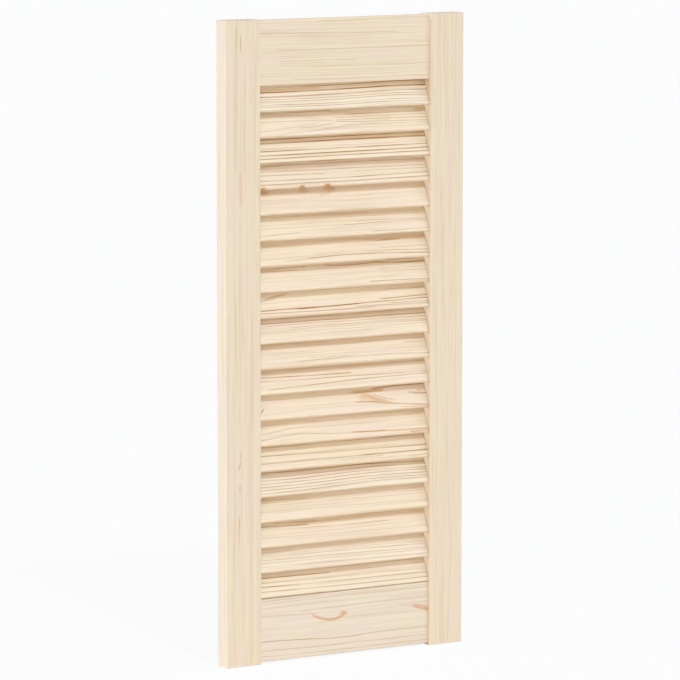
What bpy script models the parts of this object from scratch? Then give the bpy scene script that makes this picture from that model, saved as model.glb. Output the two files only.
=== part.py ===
"""Louvred cabinet door in solid pine, with fixed slats.

Two stiles and two rails make the frame, with two dowels in each corner joint.
The slats sit in angled slots in the inner edges of the stiles, with their lower
edges to the front.

Units are metres. +Z is up, the front of the door faces -Y, and the origin lies
on the floor under the middle of the door.
"""

import math

import bmesh
import bpy
from mathutils import Matrix, Vector

# Door
DOOR_HEIGHT = 0.690
DOOR_WIDTH = 0.294

# Stiles
STILE_WIDTH = 0.0425
STILE_THICKNESS = 0.021
STILE_EDGE_ROUND = 0.003
STILE_END_EASE = 0.0008

# Rails, set back behind both faces of the stiles
TOP_RAIL_HEIGHT = 0.069
BOTTOM_RAIL_HEIGHT = 0.068
RAIL_RECESS = 0.0025
RAIL_EDGE_ROUND = 0.001
TOP_RAIL_DROP = 0.001
BOTTOM_RAIL_LIFT = 0.002

# Slats, set back behind both faces of the stiles and leaning back from the vertical
SLAT_THICKNESS = 0.005
SLAT_EDGE_ROUND = 0.002
SLAT_RECESS = 0.002
SLAT_LEAN_DEGREES = 27.5
SLAT_PITCH_LIMIT = 0.0276
SLAT_END_IN_STILE = 0.008

# Dowels, fluted, two in each joint
DOWEL_DIAMETER = 0.008
DOWEL_IN_STILE = 0.020
DOWEL_IN_RAIL = 0.020
DOWEL_FROM_RAIL_EDGE = 0.017
DOWEL_FLUTES = 12
DOWEL_FLUTE_DEPTH = 0.0003
DOWEL_END_EASE = 0.001

# Clearances
JOINT_GAP = 0.0003
SLOT_CLEARANCE = 0.0003
DOWEL_CLEARANCE = 0.0003
DOWEL_END_ROOM = 0.0005
CUT_OVERSHOOT = 0.004

# Steps in each rounded or eased edge, and sides of a dowel hole
STILE_ROUND_STEPS = 4
RAIL_ROUND_STEPS = 2
SLAT_ROUND_STEPS = 3
EASED_END_STEPS = 1
HOLE_SIDES = 24

# Wood colours in linear light
STILE_COLOUR = (0.84, 0.70, 0.54)
RAIL_COLOUR = (0.85, 0.70, 0.54)
SLAT_COLOUR = (0.86, 0.71, 0.55)
DOWEL_COLOUR = (0.62, 0.42, 0.26)
PINE_ROUGHNESS = 0.62
DOWEL_ROUGHNESS = 0.55

ALONG_X = Vector((1.0, 0.0, 0.0))
ALONG_Z = Vector((0.0, 0.0, 1.0))
PARALLEL = 0.99
SMOOTH_ANGLE = math.radians(40.0)

# Frame sizes that follow from the values above
INNER_WIDTH = DOOR_WIDTH - 2 * STILE_WIDTH
STILE_CENTRE = (DOOR_WIDTH - STILE_WIDTH) / 2
RAIL_THICKNESS = STILE_THICKNESS - 2 * RAIL_RECESS
RAIL_LENGTH = INNER_WIDTH - 2 * JOINT_GAP
TOP_RAIL_CENTRE = DOOR_HEIGHT - TOP_RAIL_DROP - TOP_RAIL_HEIGHT / 2
BOTTOM_RAIL_CENTRE = BOTTOM_RAIL_LIFT + BOTTOM_RAIL_HEIGHT / 2
OPENING_TOP = DOOR_HEIGHT - TOP_RAIL_DROP - TOP_RAIL_HEIGHT
OPENING_BOTTOM = BOTTOM_RAIL_LIFT + BOTTOM_RAIL_HEIGHT
DOWEL_LENGTH = DOWEL_IN_STILE + JOINT_GAP + DOWEL_IN_RAIL
DOWEL_HOLE_DIAMETER = DOWEL_DIAMETER + 2 * DOWEL_CLEARANCE
SIDES = {"left": -1, "right": 1}
RAIL_PLACES = {
    "top": (TOP_RAIL_CENTRE, TOP_RAIL_HEIGHT),
    "bottom": (BOTTOM_RAIL_CENTRE, BOTTOM_RAIL_HEIGHT),
}

# Slat sizes that follow: a leaning slat just fills the depth between the two recesses
SLAT_LEAN = math.radians(SLAT_LEAN_DEGREES)
LEAN_SIN = math.sin(SLAT_LEAN)
LEAN_COS = math.cos(SLAT_LEAN)
SLAT_CORNER_LOSS = SLAT_EDGE_ROUND * (LEAN_SIN + LEAN_COS - 1)
SLAT_DEPTH = STILE_THICKNESS - 2 * SLAT_RECESS
SLAT_WIDTH = (SLAT_DEPTH + 2 * SLAT_CORNER_LOSS - SLAT_THICKNESS * LEAN_COS) / LEAN_SIN
SLAT_RISE = SLAT_WIDTH * LEAN_COS + SLAT_THICKNESS * LEAN_SIN - 2 * SLAT_CORNER_LOSS
SLAT_LENGTH = INNER_WIDTH + 2 * SLAT_END_IN_STILE
SLAT_TRAVEL = OPENING_TOP - OPENING_BOTTOM - SLAT_RISE - 2 * JOINT_GAP
SLAT_STEPS = math.ceil(SLAT_TRAVEL / SLAT_PITCH_LIMIT)
SLAT_PITCH = SLAT_TRAVEL / SLAT_STEPS
TOP_SLAT_CENTRE = OPENING_TOP - JOINT_GAP - SLAT_RISE / 2
SLAT_CENTRES = [TOP_SLAT_CENTRE - step * SLAT_PITCH for step in range(SLAT_STEPS + 1)]
SLAT_TURN = Matrix.Rotation(-SLAT_LEAN, 4, "X")


def clear_scene():
    """Removes every object that is already in the scene."""
    for item in list(bpy.data.objects):
        bpy.data.objects.remove(item, do_unlink=True)


def wood(name, colour, roughness):
    """Makes a plain wood material."""
    material = bpy.data.materials.new(name)
    material.use_nodes = True
    shader = material.node_tree.nodes["Principled BSDF"]
    shader.inputs["Base Color"].default_value = (*colour, 1.0)
    shader.inputs["Roughness"].default_value = roughness
    shader.inputs["Metallic"].default_value = 0.0
    return material


def bevel_edges(shape, edges, width, steps):
    """Rounds edges of a shape with an arc of a given width."""
    bmesh.ops.bevel(
        shape, geom=edges, offset=width, offset_type="OFFSET", segments=steps,
        profile=0.5, affect="EDGES", clamp_overlap=True, material=-1,
    )


def end_edges(shape, axis):
    """Lists the edges round the two end faces of a bar."""
    ends = [face for face in shape.faces if abs(face.normal.dot(axis)) > PARALLEL]
    return list({edge for face in ends for edge in face.edges})


def rounded_bar(size, axis, edge_round, steps):
    """Makes a bar about the origin, with the edges along its axis rounded."""
    shape = bmesh.new()
    bmesh.ops.create_cube(shape, size=1.0, matrix=Matrix.Diagonal((*size, 1.0)))
    runs = [(edge, edge.verts[1].co - edge.verts[0].co) for edge in shape.edges]
    long_edges = [edge for edge, run in runs if abs(run.normalized().dot(axis)) > PARALLEL]
    bevel_edges(shape, long_edges, edge_round, steps)
    shape.normal_update()
    return shape


def round_hole(depth, diameter):
    """Makes a cutter for a hole along X, about the origin."""
    shape = bmesh.new()
    bmesh.ops.create_cone(
        shape, cap_ends=True, segments=HOLE_SIDES, radius1=diameter / 2, radius2=diameter / 2,
        depth=depth + CUT_OVERSHOOT, matrix=Matrix.Rotation(math.pi / 2, 4, "Y"),
    )
    return shape


def slat_slot(depth):
    """Makes a cutter for a leaning slat end, about the origin."""
    size = (
        depth + CUT_OVERSHOOT,
        SLAT_THICKNESS + 2 * SLOT_CLEARANCE,
        SLAT_WIDTH + 2 * SLOT_CLEARANCE,
    )
    shape = rounded_bar(size, ALONG_X, SLAT_EDGE_ROUND + SLOT_CLEARANCE, SLAT_ROUND_STEPS)
    shape.transform(SLAT_TURN)
    return shape


def sunk(face, inward, depth, height):
    """Places a cutter so that it goes to a depth behind a face, along X."""
    return Matrix.Translation((face + inward * (depth - CUT_OVERSHOOT) / 2, 0.0, height))


def to_mesh(name, shape, material=None):
    """Turns a shape into a smooth-shaded mesh of one material."""
    mesh = bpy.data.meshes.new(name)
    shape.to_mesh(mesh)
    shape.free()
    mesh.shade_smooth()
    mesh.set_sharp_from_angle(angle=SMOOTH_ANGLE)
    if material is not None:
        mesh.materials.append(material)
    return mesh


def add_object(name, mesh, parent, location=(0.0, 0.0, 0.0)):
    """Puts a named object with this mesh in the scene, hung on its parent."""
    item = bpy.data.objects.new(name, mesh)
    item.location = location
    item.parent = parent
    bpy.context.collection.objects.link(item)
    return item


def cut(item, cutters):
    """Cuts shapes out of an object, each moved to its place by its matrix."""
    joined = bmesh.new()
    for shape, place in cutters:
        shape.transform(place)
        scratch = to_mesh("scratch", shape)
        joined.from_mesh(scratch)
        bpy.data.meshes.remove(scratch)
    name = item.name + "_cutter"
    tool = add_object(name, to_mesh(name, joined), item)
    tool.hide_render = True
    tool.display_type = "WIRE"
    modifier = item.modifiers.new("joinery", "BOOLEAN")
    modifier.operation = "DIFFERENCE"
    modifier.solver = "EXACT"
    modifier.object = tool


def dowel_heights(rail_centre, rail_height):
    """Gives the heights of the upper and the lower dowel in a rail's joints."""
    offset = rail_height / 2 - DOWEL_FROM_RAIL_EDGE
    return {"upper": rail_centre + offset, "lower": rail_centre - offset}


def add_stile(name, side, material, parent):
    """Adds one stile, with slots for the slats and holes for the dowels in its inner edge.

    side is -1 for the left stile and +1 for the right one.
    """
    shape = rounded_bar(
        (STILE_WIDTH, STILE_THICKNESS, DOOR_HEIGHT), ALONG_Z, STILE_EDGE_ROUND, STILE_ROUND_STEPS,
    )
    bevel_edges(shape, end_edges(shape, ALONG_Z), STILE_END_EASE, EASED_END_STEPS)
    shape.transform(Matrix.Translation((0.0, 0.0, DOOR_HEIGHT / 2)))
    place = (side * STILE_CENTRE, 0.0, 0.0)
    stile = add_object(name, to_mesh(name, shape, material), parent, place)

    inner_edge = -side * STILE_WIDTH / 2
    slot_depth = SLAT_END_IN_STILE + SLOT_CLEARANCE
    hole_depth = DOWEL_IN_STILE + DOWEL_END_ROOM
    cutters = []
    for height in SLAT_CENTRES:
        cutters.append((slat_slot(slot_depth), sunk(inner_edge, side, slot_depth, height)))
    for rail_centre, rail_height in RAIL_PLACES.values():
        for height in dowel_heights(rail_centre, rail_height).values():
            hole = round_hole(hole_depth, DOWEL_HOLE_DIAMETER)
            cutters.append((hole, sunk(inner_edge, side, hole_depth, height)))
    cut(stile, cutters)


def add_rail(name, rail_centre, rail_height, material, parent):
    """Adds one rail, with holes for the dowels in both ends."""
    shape = rounded_bar(
        (RAIL_LENGTH, RAIL_THICKNESS, rail_height), ALONG_X, RAIL_EDGE_ROUND, RAIL_ROUND_STEPS,
    )
    rail = add_object(name, to_mesh(name, shape, material), parent, (0.0, 0.0, rail_centre))

    hole_depth = DOWEL_IN_RAIL + DOWEL_END_ROOM
    cutters = []
    for side in SIDES.values():
        for height in dowel_heights(0.0, rail_height).values():
            hole = round_hole(hole_depth, DOWEL_HOLE_DIAMETER)
            cutters.append((hole, sunk(side * RAIL_LENGTH / 2, -side, hole_depth, height)))
    cut(rail, cutters)


def add_slats(material, parent):
    """Adds the slats from the top down, all with one mesh."""
    size = (SLAT_LENGTH, SLAT_THICKNESS, SLAT_WIDTH)
    shape = rounded_bar(size, ALONG_X, SLAT_EDGE_ROUND, SLAT_ROUND_STEPS)
    mesh = to_mesh("slat", shape, material)
    for number, height in enumerate(SLAT_CENTRES, start=1):
        slat = add_object(f"slat_{number:02d}", mesh, parent, (0.0, 0.0, height))
        slat.rotation_euler.x = -SLAT_LEAN


def dowel_shape():
    """Makes a fluted dowel along X, centred on the origin, with eased ends."""
    shape = bmesh.new()
    bmesh.ops.create_circle(shape, cap_ends=True, segments=2 * DOWEL_FLUTES, radius=DOWEL_DIAMETER / 2)
    groove = 1.0 - 2 * DOWEL_FLUTE_DEPTH / DOWEL_DIAMETER
    for vertex in list(shape.verts)[::2]:
        vertex.co *= groove
    raised = bmesh.ops.extrude_face_region(shape, geom=list(shape.faces))
    top = [item for item in raised["geom"] if isinstance(item, bmesh.types.BMVert)]
    bmesh.ops.translate(shape, verts=top, vec=(0.0, 0.0, DOWEL_LENGTH))
    bmesh.ops.recalc_face_normals(shape, faces=shape.faces)
    bevel_edges(shape, end_edges(shape, ALONG_Z), DOWEL_END_EASE, EASED_END_STEPS)
    centre = Matrix.Translation((0.0, 0.0, -DOWEL_LENGTH / 2))
    shape.transform(Matrix.Rotation(math.pi / 2, 4, "Y") @ centre)
    return shape


def add_dowels(material, parent):
    """Adds two dowels to each of the four corner joints, all with one mesh."""
    mesh = to_mesh("dowel", dowel_shape(), material)
    centre = INNER_WIDTH / 2 + DOWEL_IN_STILE - DOWEL_LENGTH / 2
    for rail_name, (rail_centre, rail_height) in RAIL_PLACES.items():
        for side_name, side in SIDES.items():
            for level, height in dowel_heights(rail_centre, rail_height).items():
                name = f"dowel_{rail_name}_{side_name}_{level}"
                add_object(name, mesh, parent, (side * centre, 0.0, height))


def main():
    """Builds the whole door."""
    clear_scene()
    door = bpy.data.objects.new("louvred_door", None)
    bpy.context.collection.objects.link(door)
    stile_wood = wood("pine_stile", STILE_COLOUR, PINE_ROUGHNESS)
    rail_wood = wood("pine_rail", RAIL_COLOUR, PINE_ROUGHNESS)
    slat_wood = wood("pine_slat", SLAT_COLOUR, PINE_ROUGHNESS)
    dowel_wood = wood("beech_dowel", DOWEL_COLOUR, DOWEL_ROUGHNESS)
    for name, side in SIDES.items():
        add_stile(f"{name}_stile", side, stile_wood, door)
    for name, (rail_centre, rail_height) in RAIL_PLACES.items():
        add_rail(f"{name}_rail", rail_centre, rail_height, rail_wood, door)
    add_slats(slat_wood, door)
    add_dowels(dowel_wood, door)


main()
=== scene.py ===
"""Looks of a louvred cabinet door in raw pine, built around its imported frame.

The stiles, rails and slats are modelled again with fine round-overs and dressed
in solid pine, whose growth rings run right through each board. The dowels hidden
in the joints keep their solids and are dressed in beech.

Meshes are in metres, with +Z up and the front of the door facing -Y. A finish
counts in millimetres from the middle of its own board: along the grain, across
the face (upwards on a level board) and into the depth, away from the viewer.
"""

from __future__ import annotations

import logging
import math
from dataclasses import dataclass
from enum import Enum
from typing import ClassVar

import bmesh
import bpy
from mathutils import Euler, Matrix, Vector, noise


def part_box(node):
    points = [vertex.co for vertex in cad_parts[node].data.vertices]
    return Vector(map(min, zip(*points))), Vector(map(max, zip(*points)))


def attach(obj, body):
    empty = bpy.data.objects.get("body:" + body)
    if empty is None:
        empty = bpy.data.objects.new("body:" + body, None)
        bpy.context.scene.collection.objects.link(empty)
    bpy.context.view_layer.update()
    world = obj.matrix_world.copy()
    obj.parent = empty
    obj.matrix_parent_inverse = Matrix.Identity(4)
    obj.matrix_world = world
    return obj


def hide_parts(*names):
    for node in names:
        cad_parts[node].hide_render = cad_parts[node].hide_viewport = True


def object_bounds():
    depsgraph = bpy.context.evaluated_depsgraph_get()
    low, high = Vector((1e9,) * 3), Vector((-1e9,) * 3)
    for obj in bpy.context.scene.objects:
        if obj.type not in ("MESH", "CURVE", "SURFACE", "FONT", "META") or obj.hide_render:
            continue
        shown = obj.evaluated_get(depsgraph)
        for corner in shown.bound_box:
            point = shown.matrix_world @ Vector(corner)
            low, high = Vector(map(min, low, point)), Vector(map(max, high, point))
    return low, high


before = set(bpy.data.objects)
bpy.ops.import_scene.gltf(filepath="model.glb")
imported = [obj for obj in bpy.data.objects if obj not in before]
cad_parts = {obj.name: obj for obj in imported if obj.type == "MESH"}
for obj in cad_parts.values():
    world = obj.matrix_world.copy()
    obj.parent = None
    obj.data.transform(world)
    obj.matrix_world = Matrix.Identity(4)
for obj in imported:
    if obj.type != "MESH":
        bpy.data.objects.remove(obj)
cad_low, cad_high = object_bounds()

log = logging.getLogger("louvred_door")

Colour = tuple[float, float, float, float]
Triple = tuple[float, float, float]
Place = tuple[float, float]
Node = bpy.types.Node
Socket = bpy.types.NodeSocket
Feed = Socket | float | tuple
Shape = bmesh.types.BMesh
Edges = list[bmesh.types.BMEdge]

BODY = "root"
MILLIMETRE = 0.001
PARALLEL = 0.99
SMOOTH_ANGLE = math.radians(35.0)
ALONG_X = Vector((1.0, 0.0, 0.0))
ALONG_Z = Vector((0.0, 0.0, 1.0))
NOISE_MIDDLE = 0.5

# How the slats lean, how closely dressed boards meet in a joint and how far cutters stand out of it
SLAT_LEAN = math.radians(27.5)
TIGHT_FIT = 0.00008
CUT_OVERSHOOT = 0.004

# Lines on a slat or a rail, in millimetres: the ends that the stiles hide, half the length that shows,
# the usual half width, a slat's front edge with its painted highlight, and the band of painted warm shade
# above it
LEFT_END = -125.0
RIGHT_END = 125.0
SEEN_HALF = 104.0
LINE_WIDTH = 0.8
PAINTED_HIGHLIGHT_ACROSS = -13.6
PAINTED_SHADE_ACROSS = 9.0
PAINTED_SHADE_HALF_WIDTH = 4.0

# Pine and beech in linear light
PALE_WOOD: Colour = (0.960, 0.822, 0.612, 1.0)
FRAME_WOOD: Colour = (0.915, 0.798, 0.606, 1.0)
BOTTOM_WOOD: Colour = (0.893, 0.802, 0.625, 1.0)
BLEACHED_WOOD: Colour = (0.985, 0.890, 0.730, 1.0)
LATE_WOOD: Colour = (0.455, 0.230, 0.045, 1.0)
# Resin's colour, which also paints warm shade on the upper part of each slat
RESIN_AND_WARM_SHADE_WOOD: Colour = (0.720, 0.420, 0.180, 1.0)
KNOT_WOOD: Colour = (0.700, 0.355, 0.120, 1.0)
KNOT_HEART: Colour = (0.400, 0.200, 0.090, 1.0)
BEECH_PALE: Colour = (0.640, 0.440, 0.275, 1.0)
BEECH_DARK: Colour = (0.480, 0.300, 0.170, 1.0)

# What blushing and fibres do to the wood's colour, and the palest that it may become
BLUSH_TINT: Triple = (1.005, 0.978, 1.045)
FIBRE_TONE: Triple = (0.18, 0.20, 0.32)
BRIGHTEST: Triple = (0.985, 0.985, 0.985)


class Side(Enum):
    """The two sides of the door, as the sign of X."""

    LEFT = -1
    RIGHT = 1


class Level(Enum):
    """The two rails, as the frame's names call them."""

    TOP = "top"
    BOTTOM = "bottom"


class Grain(Enum):
    """The turn that brings a level board, with its fibres along X, to its place in the door."""

    LEVEL = (0.0, 0.0, 0.0)
    UPRIGHT = (0.0, -math.pi / 2, 0.0)
    LEANING = (-SLAT_LEAN, 0.0, 0.0)


class Slot(Enum):
    """The record's material slots."""

    STILE = "pine_stile"
    RAIL = "pine_rail"
    SLAT = "pine_slat"


class Mark(Enum):
    """What a streak is made of, as the input of the ring pattern that draws it."""

    LATE_WOOD = "Line"
    # Resin, and the warm shade that is painted in its colour on the slats
    RESIN_AND_WARM_SHADE = "Resin"


class Pattern(Enum):
    """The patterns that the boards' materials share."""

    GRAIN = "pine_grain"
    KNOT = "pine_knot"
    STREAK = "pine_streak"
    RINGS = "pine_rings"


class Kind(Enum):
    """The kinds of a pattern's inputs and outputs, by Blender's names."""

    NUMBER = "NodeSocketFloat"
    VECTOR = "NodeSocketVector"
    COLOUR = "NodeSocketColor"


Sockets = dict[Kind, tuple[str, ...]]


@dataclass(frozen=True)
class Easing:
    """A smooth change: where it starts and ends, and the levels there."""

    start: float = 0.0
    end: float = 1.0
    low: float = 0.0
    high: float = 1.0


@dataclass(frozen=True)
class WoodNoise:
    """Noise in wood: how often it changes along, into and across a board, and how fine it is."""

    stretch: Triple
    detail: float
    roughness: float = 0.5


def grey(level: float) -> Colour:
    """Gives a colour without a tint."""
    return (level, level, level, 1.0)


def new_material(name: str) -> bpy.types.Material:
    """Makes a material that has nodes.

    Args:
        name: The material's name.

    Returns:
        The material.
    """
    material = bpy.data.materials.new(name)
    material.use_nodes = True
    return material


class NodeSheet:
    """A node tree with short ways to add nodes and join them."""

    # Where the mix node keeps its two colours and the mixed one
    FIRST_COLOUR = 6
    SECOND_COLOUR = 7
    MIXED_COLOUR = 2

    def __init__(self, tree: bpy.types.NodeTree) -> None:
        """Keeps the tree that the nodes go into."""
        self.tree = tree

    def feed(self, socket: Socket, value: Feed) -> None:
        """Joins a socket to an output, or sets its value.

        Args:
            socket: The input to feed.
            value: An output socket, a number or a tuple.
        """
        if isinstance(value, Socket):
            self.tree.links.new(value, socket)
        else:
            socket.default_value = value

    def feed_all(self, node: Node, feeds: dict[str, Feed]) -> None:
        """Feeds several inputs of a node, by name."""
        for name, value in feeds.items():
            self.feed(node.inputs[name], value)

    def add(self, kind: str, feeds: dict[str, Feed] | None = None, **settings: object) -> Node:
        """Adds a node and feeds its inputs by name.

        Args:
            kind: Blender's name for the kind of node.
            feeds: What goes into its inputs.
            settings: The node's own properties.

        Returns:
            The new node.
        """
        node = self.tree.nodes.new(kind)
        for name, value in settings.items():
            setattr(node, name, value)
        self.feed_all(node, feeds or {})
        return node

    def join(self, kind: str, *values: Feed, **settings: object) -> Node:
        """Adds a node and feeds its inputs in order.

        Args:
            kind: Blender's name for the kind of node.
            values: What goes into its inputs.
            settings: The node's own properties.

        Returns:
            The new node.
        """
        node = self.add(kind, **settings)
        for socket, value in zip(node.inputs, values):
            self.feed(socket, value)
        return node

    def use(self, pattern: Pattern, feeds: dict[str, Feed]) -> Node:
        """Adds a shared pattern and feeds its inputs by name."""
        return self.add("ShaderNodeGroup", feeds, node_tree=bpy.data.node_groups[pattern.value])

    def math(self, operation: str, *values: Feed) -> Socket:
        """Works out a number from numbers."""
        return self.join("ShaderNodeMath", *values, operation=operation).outputs[0]

    def vector(self, operation: str, *values: Feed) -> Socket:
        """Works out a vector from vectors."""
        return self.join("ShaderNodeVectorMath", *values, operation=operation).outputs[0]

    def measure(self, operation: str, *values: Feed) -> Socket:
        """Works out a number from vectors."""
        return self.join("ShaderNodeVectorMath", *values, operation=operation).outputs["Value"]

    def scaled(self, vector: Feed, factor: Feed) -> Socket:
        """Multiplies a vector or a colour by a number."""
        feeds = {"Vector": vector, "Scale": factor}
        return self.add("ShaderNodeVectorMath", feeds, operation="SCALE").outputs[0]

    def split(self, vector: Feed) -> bpy.types.bpy_prop_collection:
        """Splits a vector into outputs named X, Y and Z."""
        return self.join("ShaderNodeSeparateXYZ", vector).outputs

    def bell(self, value: Feed) -> Socket:
        """Shapes a number into a bell that is one at zero."""
        square = self.math("MULTIPLY", value, value)
        return self.math("POWER", math.e, self.math("MULTIPLY", square, -0.5))

    def ease(self, value: Feed, easing: Easing) -> Socket:
        """Eases a number from one level to another.

        Args:
            value: The number.
            easing: Where it eases, and between which levels.

        Returns:
            The eased number's socket.
        """
        feeds = {
            "Value": value,
            "From Min": easing.start,
            "From Max": easing.end,
            "To Min": easing.low,
            "To Max": easing.high,
        }
        return self.add("ShaderNodeMapRange", feeds, interpolation_type="SMOOTHSTEP").outputs[0]

    def noise(self, place: Feed, detail: float, roughness: float = 0.5) -> Node:
        """Adds smooth noise that is about one unit from hump to hump.

        Args:
            place: The place to read.
            detail: How many finer layers there are.
            roughness: How strong the finer layers are.

        Returns:
            The noise node.
        """
        feeds = {"Vector": place, "Scale": 1.0, "Detail": detail, "Roughness": roughness}
        return self.add("ShaderNodeTexNoise", feeds, noise_dimensions="3D")

    def mix(self, factor: Feed, first: Feed, second: Feed) -> Socket:
        """Mixes two colours.

        Args:
            factor: The share of the second colour.
            first: The first colour.
            second: The second colour.

        Returns:
            The mixed colour's socket.
        """
        node = self.join("ShaderNodeMix", factor, data_type="RGBA")
        self.feed(node.inputs[self.FIRST_COLOUR], first)
        self.feed(node.inputs[self.SECOND_COLOUR], second)
        return node.outputs[self.MIXED_COLOUR]

    def gather(self, drawn: dict[str, Feed], name: str, operation: str, made: Socket) -> None:
        """Joins an output to what has been drawn before under the same name."""
        known = drawn.get(name)
        drawn[name] = made if known is None else self.math(operation, known, made)

    def shown(self) -> Socket:
        """Tells whether the camera sees a surface, straight on or in a reflection.

        Returns:
            A socket that is one where it does.
        """
        path = self.add("ShaderNodeLightPath").outputs
        mirrored = self.math("MAXIMUM", path["Is Glossy Ray"], path["Is Transmission Ray"])
        return self.math("MAXIMUM", path["Is Camera Ray"], mirrored)


class NodeGroup(NodeSheet):
    """A pattern that several materials share, with named inputs and outputs."""

    def __init__(self, pattern: Pattern, takes: Sockets, gives: Sockets) -> None:
        """Makes an empty pattern.

        Args:
            pattern: Which pattern it is.
            takes: The names of its inputs, by kind.
            gives: The names of its outputs, by kind.
        """
        super().__init__(bpy.data.node_groups.new(pattern.value, "ShaderNodeTree"))
        for side, sockets in (("INPUT", takes), ("OUTPUT", gives)):
            for kind, names in sockets.items():
                for name in names:
                    self.tree.interface.new_socket(name=name, in_out=side, socket_type=kind.value)
        self.given = self.add("NodeGroupInput").outputs
        self.made = self.add("NodeGroupOutput").inputs

    def layer(self, wood: WoodNoise, shift: Feed) -> Node:
        """Reads noise that is stretched along the board.

        Args:
            wood: The noise.
            shift: A step aside, so that each board has its own.

        Returns:
            The noise node.
        """
        place = self.vector("MULTIPLY_ADD", self.given["Place"], wood.stretch, shift)
        return self.noise(place, wood.detail, wood.roughness)


class GrainPattern(NodeGroup):
    """Wandering grain: it takes a place on a board to where it would be in straight wood.

    The grain swings aside by the rise at the middle, over the reach, and wanders elsewhere.
    """

    SEED_STEP = (5.9, 13.1, 3.7)
    WANDER = WoodNoise((0.010, 0.035, 0.035), 2.0)
    SWING = (0.0, 2.4, 2.4)

    def __init__(self) -> None:
        """Draws the swing aside and the wandering."""
        super().__init__(
            Pattern.GRAIN,
            {Kind.VECTOR: ("Place",), Kind.NUMBER: ("Middle", "Rise", "Reach", "Wander", "Seed")},
            {Kind.VECTOR: ("Place",)},
        )
        given = self.given
        beyond = self.math("SUBTRACT", self.split(given["Place"])["X"], given["Middle"])
        hump = self.bell(self.math("DIVIDE", beyond, given["Reach"]))
        aside = self.add("ShaderNodeCombineXYZ", {"Z": self.math("MULTIPLY", hump, given["Rise"])})
        stirred = self.layer(self.WANDER, self.scaled(self.SEED_STEP, given["Seed"])).outputs["Color"]
        swing = self.vector("SUBTRACT", stirred, (NOISE_MIDDLE,) * 3)
        wander = self.scaled(self.vector("MULTIPLY", swing, self.SWING), given["Wander"])
        level = self.vector("SUBTRACT", given["Place"], aside.outputs[0])
        self.feed(self.made["Place"], self.vector("ADD", level, wander))


class KnotPattern(NodeGroup):
    """One knot: a branch that crosses a board through its depth.

    It gives how far the rings bulge round the knot, in millimetres, the knot's own share
    and the share of its dark heart.
    """

    RAGGED_SCALE = 0.35
    RAGGED_DETAIL = 2.0
    RAGGED = (0.6, 0.0, 0.6)
    RAGGED_MIDDLE = (0.3, 0.0, 0.3)
    ON_THE_FACE = (1.0, 0.0, 1.0)
    CORE = Easing(1.30, 0.55)
    HEART = Easing(0.80, 0.15)

    def __init__(self) -> None:
        """Draws the knot by the distance from its middle, with a ragged rim."""
        super().__init__(
            Pattern.KNOT,
            {Kind.VECTOR: ("Place", "Middle", "Reach"), Kind.NUMBER: ("Bulge", "Tone")},
            {Kind.NUMBER: ("Bulge", "Core", "Heart")},
        )
        given = self.given
        fine_place = self.scaled(given["Place"], self.RAGGED_SCALE)
        ragged = self.noise(fine_place, self.RAGGED_DETAIL).outputs["Color"]
        offset = self.vector("SUBTRACT", given["Place"], given["Middle"])
        ratio = self.vector("DIVIDE", offset, given["Reach"])
        stirred = self.vector("MULTIPLY_ADD", ragged, self.RAGGED, ratio)
        centred = self.vector("SUBTRACT", stirred, self.RAGGED_MIDDLE)
        distance = self.measure("LENGTH", self.vector("MULTIPLY", centred, self.ON_THE_FACE))
        self.feed(self.made["Bulge"], self.math("MULTIPLY", self.bell(distance), given["Bulge"]))
        for name, easing in (("Core", self.CORE), ("Heart", self.HEART)):
            share = self.ease(distance, easing)
            self.feed(self.made[name], self.math("MULTIPLY", share, given["Tone"]))


class StreakPattern(NodeGroup):
    """One bold line along a board, which tapers at both ends.

    It gives the line's share, from the line's two ends and how far its middle sags away
    from the straight.
    """

    TAPER = 9.0
    LONGEST_TAPER_SHARE = 0.35
    NARROWEST = 0.4
    BOW_TO_ONE = 4.0
    TAPERING = Easing()
    BODY = Easing(1.0, 0.25)

    def __init__(self) -> None:
        """Draws the line by the distance from its path."""
        super().__init__(
            Pattern.STREAK,
            {Kind.VECTOR: ("Place", "Start", "Run"), Kind.NUMBER: ("Sag", "Width", "Tone")},
            {Kind.NUMBER: ("Line",)},
        )
        given = self.given
        offset = self.split(self.vector("SUBTRACT", given["Place"], given["Start"]))
        run = self.split(given["Run"])
        share = self.math("DIVIDE", offset["X"], run["X"])
        rest = self.math("SUBTRACT", 1.0, share)
        bow = self.math("MULTIPLY", self.math("MULTIPLY", share, rest), self.BOW_TO_ONE)
        path = self.math("MULTIPLY_ADD", bow, given["Sag"], self.math("MULTIPLY", share, run["Z"]))
        away = self.math("ABSOLUTE", self.math("SUBTRACT", offset["Z"], path))
        taper_share = self.math("DIVIDE", self.TAPER, run["X"])
        ending = self.math("MINIMUM", taper_share, self.LONGEST_TAPER_SHARE)
        nearest = self.math("MINIMUM", share, rest)
        taper = self.ease(self.math("DIVIDE", nearest, ending), self.TAPERING)
        narrowing = self.math("MULTIPLY_ADD", taper, 1.0 - self.NARROWEST, self.NARROWEST)
        width = self.math("MULTIPLY", given["Width"], narrowing)
        body = self.ease(self.math("DIVIDE", away, width), self.BODY)
        drawn = self.math("MULTIPLY", body, taper)
        self.feed(self.made["Line"], self.math("MULTIPLY", drawn, given["Tone"]))


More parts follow.
